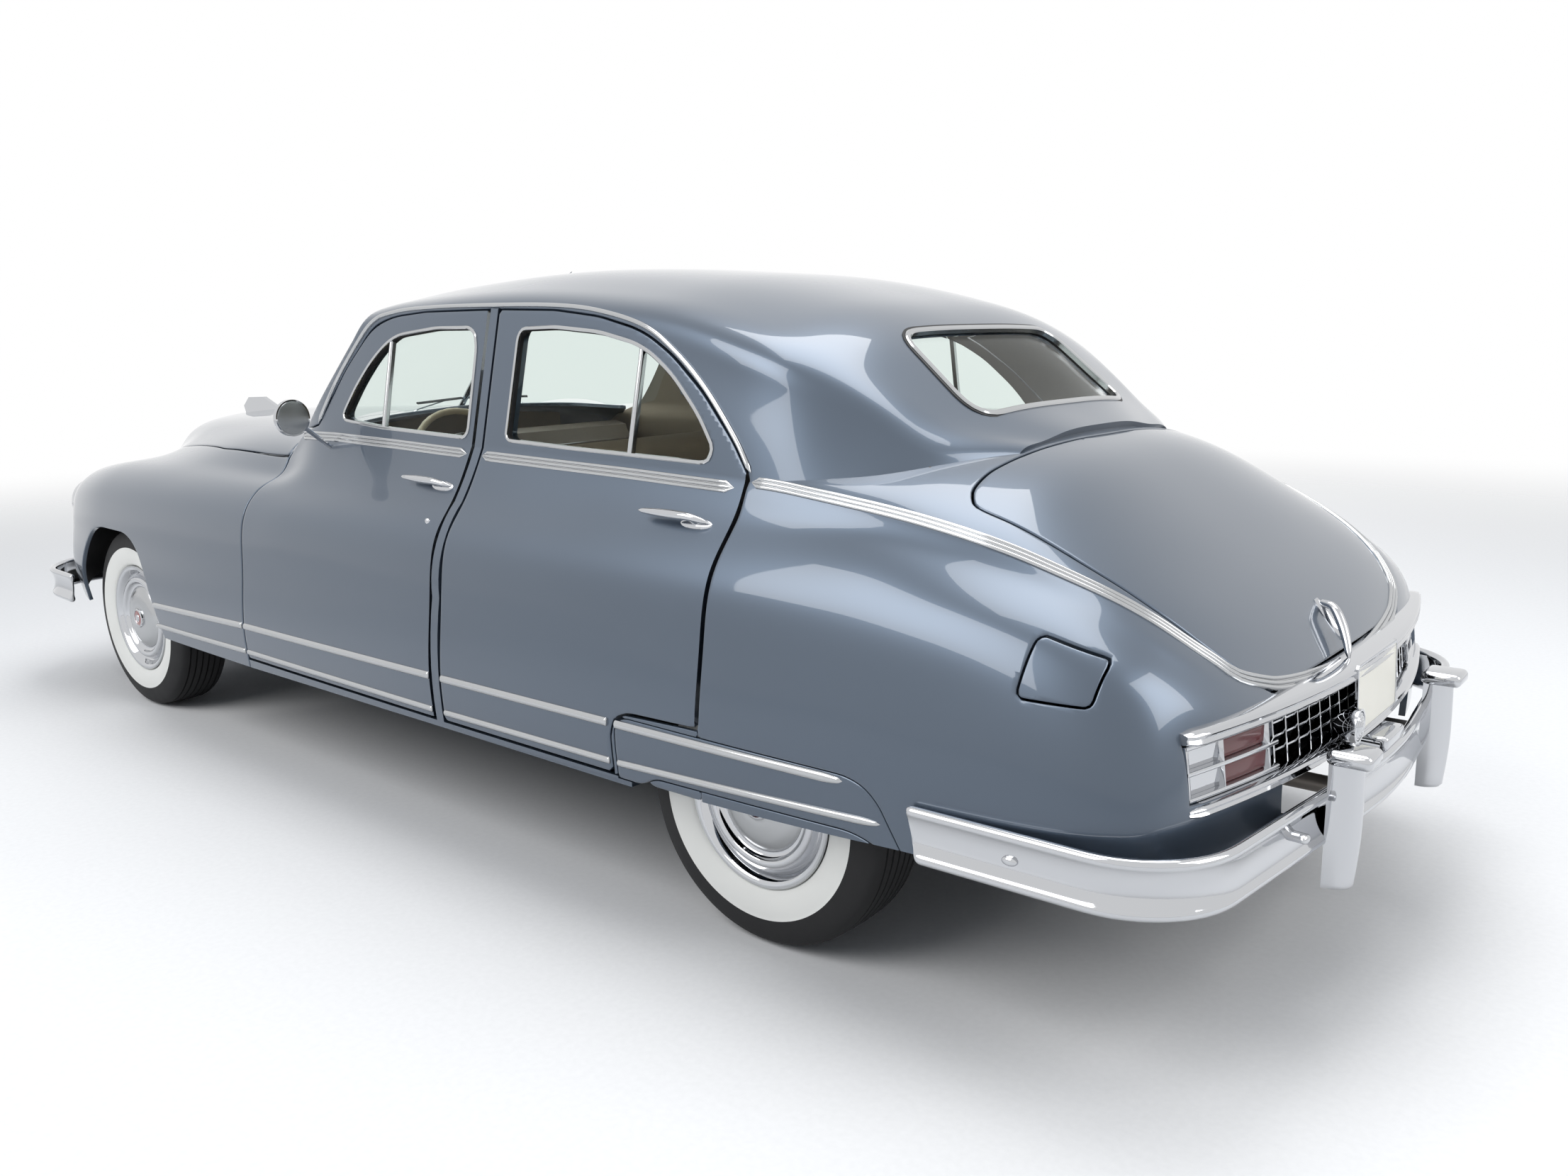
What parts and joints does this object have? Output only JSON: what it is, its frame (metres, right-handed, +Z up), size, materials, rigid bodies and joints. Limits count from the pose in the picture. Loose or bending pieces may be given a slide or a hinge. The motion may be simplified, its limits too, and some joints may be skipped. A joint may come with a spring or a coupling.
{
  "type": "classic sedan",
  "caption": "Full-size rounded four-door saloon car with opening doors, hood and trunk, steered front wheels, rear wheel skirts and chrome bumpers.",
  "frame": {"origin": "on the ground under the middle of the car, at mid length and mid width", "axes": "+X to the rear of the car, +Y to the car's right, +Z up"},
  "size_m": [5.356, 1.987, 1.6279],
  "materials": {
    "paint": "gloss",
    "frame_black": "satin",
    "cast": "matt",
    "chrome": "polished",
    "glass": "polished",
    "tyre": "matt",
    "wheel": "gloss",
    "fabric": "matt",
    "dash": "satin",
    "bakelite": "gloss",
    "lamp_red": "gloss",
    "lamp_clear": "polished",
    "tank": "satin",
    "pipe": "satin"
  },
  "bodies": {
    "car": {"chassis_frame": "frame_black", "rear_axle": "cast", "driveline": "cast", "engine": "cast", "exhaust": "pipe", "fuel_tank": "tank", "radiator": "tank", "floor_pan": "frame_black", "cowl": "paint", "side_frames": "paint", "roof": "paint", "rear_body": "paint", "fenders": "paint", "nose_panel": "paint", "skirts": "paint", "windshield": "glass", "rear_window": "glass", "bumper_front": "chrome", "bumper_rear": "chrome", "front_grille": "chrome", "rear_grille": "chrome", "headlamps": "lamp_clear", "tail_lamps": "lamp_red", "front_seat": "fabric", "rear_seat": "fabric", "dashboard": "dash"},
    "door_front_left": {"door_front_left": "paint", "glass_front_left": "glass", "mirror": "chrome"},
    "wheel_front_left": {"wheel_front_left": "wheel", "tyre_front_left": "tyre"},
    "door_front_right": {"door_front_right": "paint", "glass_front_right": "glass"},
    "wheel_front_right": {"wheel_front_right": "wheel", "tyre_front_right": "tyre"},
    "door_rear_left": {"door_rear_left": "paint", "glass_rear_left": "glass"},
    "wheel_rear_left": {"wheel_rear_left": "wheel", "tyre_rear_left": "tyre"},
    "door_rear_right": {"door_rear_right": "paint", "glass_rear_right": "glass"},
    "wheel_rear_right": {"wheel_rear_right": "wheel", "tyre_rear_right": "tyre"},
    "hood": {"hood": "paint", "hood_ornament": "chrome"},
    "trunk_lid": {"trunk_lid": "paint"},
    "fuel_door": {"fuel_door": "paint"},
    "steering_wheel": {"steering_wheel": "bakelite"},
    "knuckle_left": {"knuckle_left": "cast"},
    "knuckle_right": {"knuckle_right": "cast"}
  },
  "joints": [
    {"name": "wheel_front_left_spin", "type": "hinge", "parent": "knuckle_left", "child": "wheel_front_left", "pos_m": [-1.763, -0.772, 0.356], "axis": [0, 1, 0], "continuous": true},
    {"name": "wheel_front_right_spin", "type": "hinge", "parent": "knuckle_right", "child": "wheel_front_right", "pos_m": [-1.763, 0.772, 0.356], "axis": [0, 1, 0], "continuous": true},
    {"name": "wheel_rear_left_spin", "type": "hinge", "parent": "car", "child": "wheel_rear_left", "pos_m": [1.463, -0.772, 0.356], "axis": [0, 1, 0], "continuous": true},
    {"name": "wheel_rear_right_spin", "type": "hinge", "parent": "car", "child": "wheel_rear_right", "pos_m": [1.463, 0.772, 0.356], "axis": [0, 1, 0], "continuous": true},
    {"name": "steer_left", "type": "hinge", "parent": "car", "child": "knuckle_left", "pos_m": [-1.763, -0.672, 0.356], "axis": [0, 0, 1], "range_deg": [-32, 32]},
    {"name": "steer_right", "type": "hinge", "parent": "car", "child": "knuckle_right", "pos_m": [-1.763, 0.672, 0.356], "axis": [0, 0, 1], "range_deg": [-32, 32]},
    {"name": "steering_wheel_turn", "type": "hinge", "parent": "car", "child": "steering_wheel", "pos_m": [-0.21, -0.37, 0.99], "axis": [0.848, 0, 0.5299], "range_deg": [-577, 577]},
    {"name": "door_front_left_hinge", "type": "hinge", "parent": "car", "child": "door_front_left", "pos_m": [-0.703, -0.976, 0.75], "axis": [0, 0, -1], "range_deg": [0, 65]},
    {"name": "door_front_right_hinge", "type": "hinge", "parent": "car", "child": "door_front_right", "pos_m": [-0.703, 0.976, 0.75], "axis": [0, 0, 1], "range_deg": [0, 65]},
    {"name": "door_rear_left_hinge", "type": "hinge", "parent": "car", "child": "door_rear_left", "pos_m": [0.41, -0.986, 0.75], "axis": [0, 0, -1], "range_deg": [0, 65]},
    {"name": "door_rear_right_hinge", "type": "hinge", "parent": "car", "child": "door_rear_right", "pos_m": [0.41, 0.986, 0.75], "axis": [0, 0, 1], "range_deg": [0, 65]},
    {"name": "hood_hinge", "type": "hinge", "parent": "car", "child": "hood", "pos_m": [-0.714, 0, 1.175], "axis": [0, 1, 0], "range_deg": [0, 45]},
    {"name": "trunk_lid_hinge", "type": "hinge", "parent": "car", "child": "trunk_lid", "pos_m": [1.883, 0, 1.178], "axis": [0, -1, 0], "range_deg": [0, 60]},
    {"name": "fuel_door_hinge", "type": "hinge", "parent": "car", "child": "fuel_door", "pos_m": [2.17547, -0.8945, 0.81565], "axis": [-0.1002, -0.5085, -0.8552], "range_deg": [0, 85]}
  ],
  "couplings": [
    {"joint": "steer_right", "follows": "steer_left", "ratio": 1},
    {"joint": "steering_wheel_turn", "follows": "steer_left", "ratio": 18}
  ]
}
